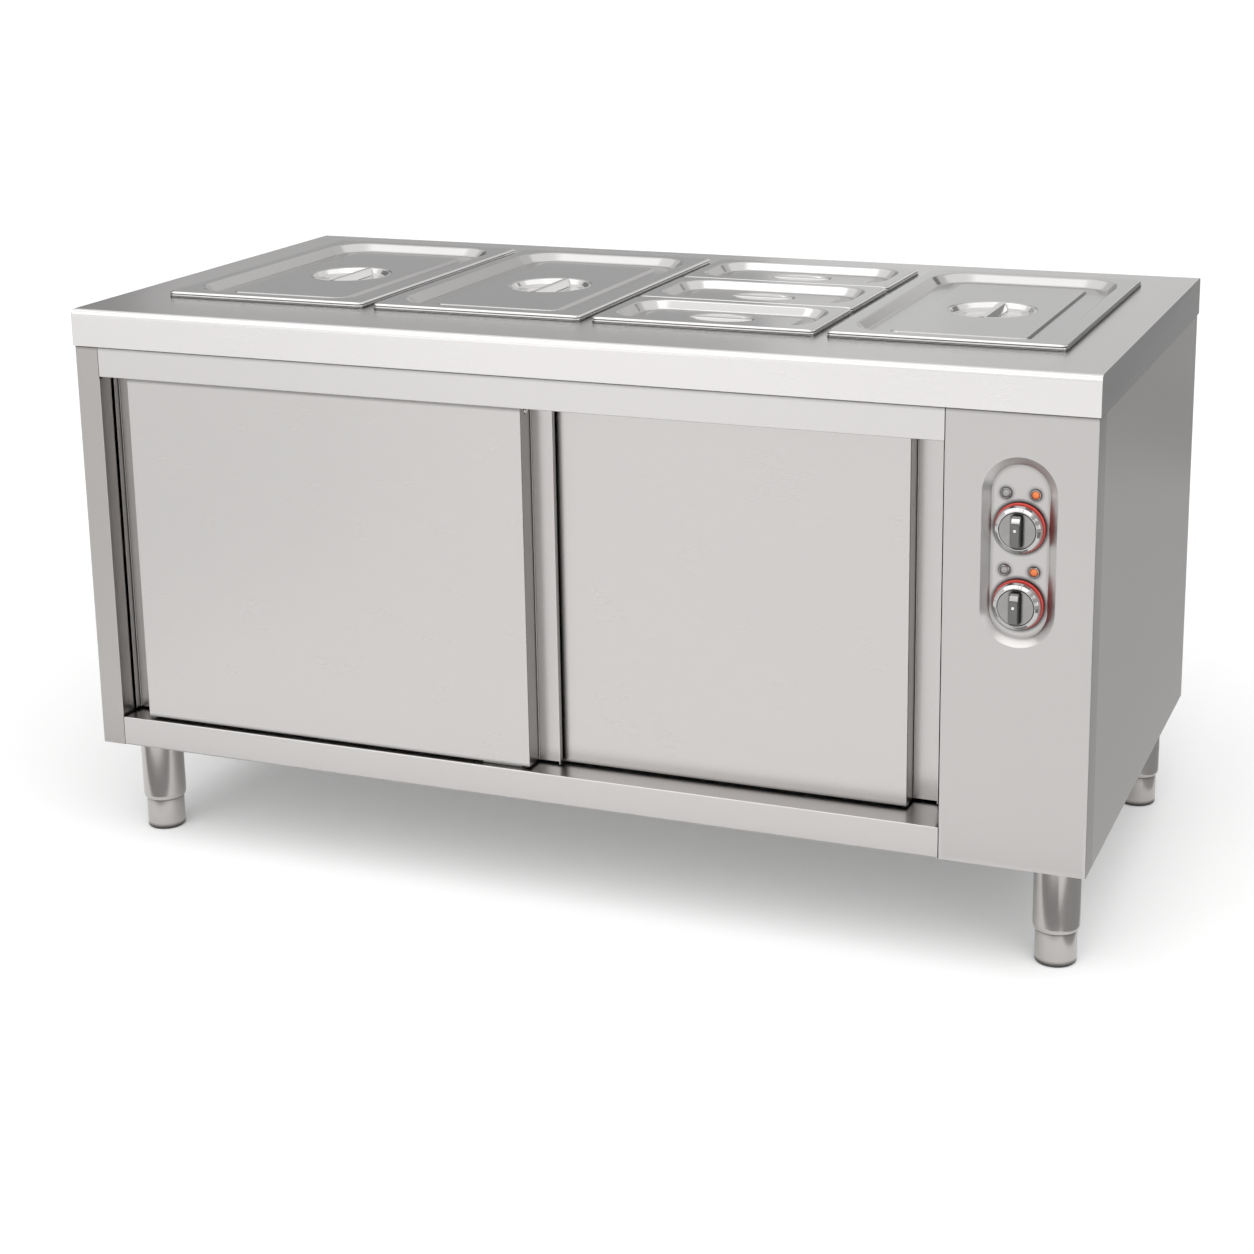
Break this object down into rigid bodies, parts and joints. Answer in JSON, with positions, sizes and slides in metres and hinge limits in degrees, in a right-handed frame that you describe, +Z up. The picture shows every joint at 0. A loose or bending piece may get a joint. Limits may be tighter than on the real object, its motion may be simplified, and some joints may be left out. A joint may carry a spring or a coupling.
{
  "type": "bain marie counter",
  "caption": "Stainless hot cupboard on short adjustable legs with sliding doors, dial controls and a bain marie top of lidded gastronorm pans.",
  "frame": {"origin": "on the floor, below the middle of the counter's whole bounding box", "axes": "+X along the counter's length towards its right end as seen by the user, +Y from the user towards the back, +Z up"},
  "size_m": [1.5, 0.7844, 0.8286],
  "materials": {
    "brushed_steel": "satin brushed",
    "pan_steel": "bright pressed",
    "galvanised": "dull zinc",
    "chrome": "bright",
    "red_plastic": "gloss",
    "amber_lens": "gloss",
    "clear_lens": "gloss",
    "white_nylon": "matt",
    "black_plastic": "matt",
    "element_sheath": "heat-dulled",
    "brass": "satin"
  },
  "bodies": {
    "carcass": {"worktop": "brushed_steel", "left_side_panel": "brushed_steel", "right_side_panel": "brushed_steel", "back_panel": "brushed_steel", "control_panel": "brushed_steel", "top_rail": "brushed_steel", "bottom_rail": "brushed_steel", "underside_panel": "galvanised", "cupboard_floor": "brushed_steel", "middle_shelf": "brushed_steel", "partition": "brushed_steel", "door_track": "galvanised", "door_guide": "white_nylon", "water_tank": "brushed_steel", "tank_element": "element_sheath", "cupboard_element": "element_sheath", "element_guard": "brushed_steel", "upper_thermostat": "black_plastic", "lower_thermostat": "black_plastic", "terminal_block": "black_plastic", "cable_gland": "black_plastic", "supply_wiring": "black_plastic", "control_wiring": "black_plastic", "drain_valve": "brass", "upper_bezel": "red_plastic", "lower_bezel": "red_plastic", "upper_left_lamp": "clear_lens", "upper_right_lamp": "amber_lens", "lower_left_lamp": "clear_lens", "lower_right_lamp": "amber_lens", "front_left_sleeve": "brushed_steel", "front_right_sleeve": "brushed_steel", "back_left_sleeve": "brushed_steel", "back_right_sleeve": "brushed_steel"},
    "left_door_body": {"left_door": "brushed_steel", "left_door_liner": "brushed_steel", "left_door_hanger": "white_nylon"},
    "right_door_body": {"right_door": "brushed_steel", "right_door_liner": "brushed_steel", "right_door_hanger": "white_nylon"},
    "upper_knob_body": {"upper_knob": "chrome"},
    "lower_knob_body": {"lower_knob": "chrome"},
    "drain_lever_body": {"drain_lever": "red_plastic"},
    "front_left_foot_body": {"front_left_foot": "brushed_steel"},
    "front_right_foot_body": {"front_right_foot": "brushed_steel"},
    "back_left_foot_body": {"back_left_foot": "brushed_steel"},
    "back_right_foot_body": {"back_right_foot": "brushed_steel"},
    "full_left_pan_body": {"full_left_pan": "pan_steel"},
    "full_centre_pan_body": {"full_centre_pan": "pan_steel"},
    "full_right_pan_body": {"full_right_pan": "pan_steel"},
    "third_front_pan_body": {"third_front_pan": "pan_steel"},
    "third_middle_pan_body": {"third_middle_pan": "pan_steel"},
    "third_back_pan_body": {"third_back_pan": "pan_steel"},
    "full_left_lid_body": {"full_left_lid": "pan_steel"},
    "full_centre_lid_body": {"full_centre_lid": "pan_steel"},
    "full_right_lid_body": {"full_right_lid": "pan_steel"},
    "third_front_lid_body": {"third_front_lid": "pan_steel"},
    "third_middle_lid_body": {"third_middle_lid": "pan_steel"},
    "third_back_lid_body": {"third_back_lid": "pan_steel"}
  },
  "joints": [
    {"name": "left_door_slide", "type": "slide", "parent": "carcass", "child": "left_door_body", "axis": [1, 0, 0], "range_m": [0, 0.538]},
    {"name": "right_door_slide", "type": "slide", "parent": "carcass", "child": "right_door_body", "axis": [-1, 0, 0], "range_m": [0, 0.538]},
    {"name": "upper_knob_turn", "type": "hinge", "parent": "carcass", "child": "upper_knob_body", "pos_m": [0.65, -0.38, 0.6155], "axis": [0, 1, 0], "range_deg": [0, 300]},
    {"name": "lower_knob_turn", "type": "hinge", "parent": "carcass", "child": "lower_knob_body", "pos_m": [0.65, -0.38, 0.5145], "axis": [0, 1, 0], "range_deg": [0, 300]},
    {"name": "drain_lever_turn", "type": "hinge", "parent": "carcass", "child": "drain_lever_body", "pos_m": [-0.62, 0.22, 0.5997], "axis": [0, 1, 0], "range_deg": [0, 90]},
    {"name": "front_left_foot_slide", "type": "slide", "parent": "carcass", "child": "front_left_foot_body", "axis": [0, 0, -1], "range_m": [0, 0.03]},
    {"name": "front_right_foot_slide", "type": "slide", "parent": "carcass", "child": "front_right_foot_body", "axis": [0, 0, -1], "range_m": [0, 0.03]},
    {"name": "back_left_foot_slide", "type": "slide", "parent": "carcass", "child": "back_left_foot_body", "axis": [0, 0, -1], "range_m": [0, 0.03]},
    {"name": "back_right_foot_slide", "type": "slide", "parent": "carcass", "child": "back_right_foot_body", "axis": [0, 0, -1], "range_m": [0, 0.03]},
    {"name": "full_left_pan_lift", "type": "slide", "parent": "carcass", "child": "full_left_pan_body", "axis": [0, 0, 1], "range_m": [0, 0.25]},
    {"name": "full_centre_pan_lift", "type": "slide", "parent": "carcass", "child": "full_centre_pan_body", "axis": [0, 0, 1], "range_m": [0, 0.25]},
    {"name": "full_right_pan_lift", "type": "slide", "parent": "carcass", "child": "full_right_pan_body", "axis": [0, 0, 1], "range_m": [0, 0.25]},
    {"name": "third_front_pan_lift", "type": "slide", "parent": "carcass", "child": "third_front_pan_body", "axis": [0, 0, 1], "range_m": [0, 0.25]},
    {"name": "third_middle_pan_lift", "type": "slide", "parent": "carcass", "child": "third_middle_pan_body", "axis": [0, 0, 1], "range_m": [0, 0.25]},
    {"name": "third_back_pan_lift", "type": "slide", "parent": "carcass", "child": "third_back_pan_body", "axis": [0, 0, 1], "range_m": [0, 0.25]},
    {"name": "full_left_lid_lift", "type": "slide", "parent": "full_left_pan_body", "child": "full_left_lid_body", "axis": [0, 0, 1], "range_m": [0, 0.12]},
    {"name": "full_centre_lid_lift", "type": "slide", "parent": "full_centre_pan_body", "child": "full_centre_lid_body", "axis": [0, 0, 1], "range_m": [0, 0.12]},
    {"name": "full_right_lid_lift", "type": "slide", "parent": "full_right_pan_body", "child": "full_right_lid_body", "axis": [0, 0, 1], "range_m": [0, 0.12]},
    {"name": "third_front_lid_lift", "type": "slide", "parent": "third_front_pan_body", "child": "third_front_lid_body", "axis": [0, 0, 1], "range_m": [0, 0.12]},
    {"name": "third_middle_lid_lift", "type": "slide", "parent": "third_middle_pan_body", "child": "third_middle_lid_body", "axis": [0, 0, 1], "range_m": [0, 0.12]},
    {"name": "third_back_lid_lift", "type": "slide", "parent": "third_back_pan_body", "child": "third_back_lid_body", "axis": [0, 0, 1], "range_m": [0, 0.12]}
  ]
}
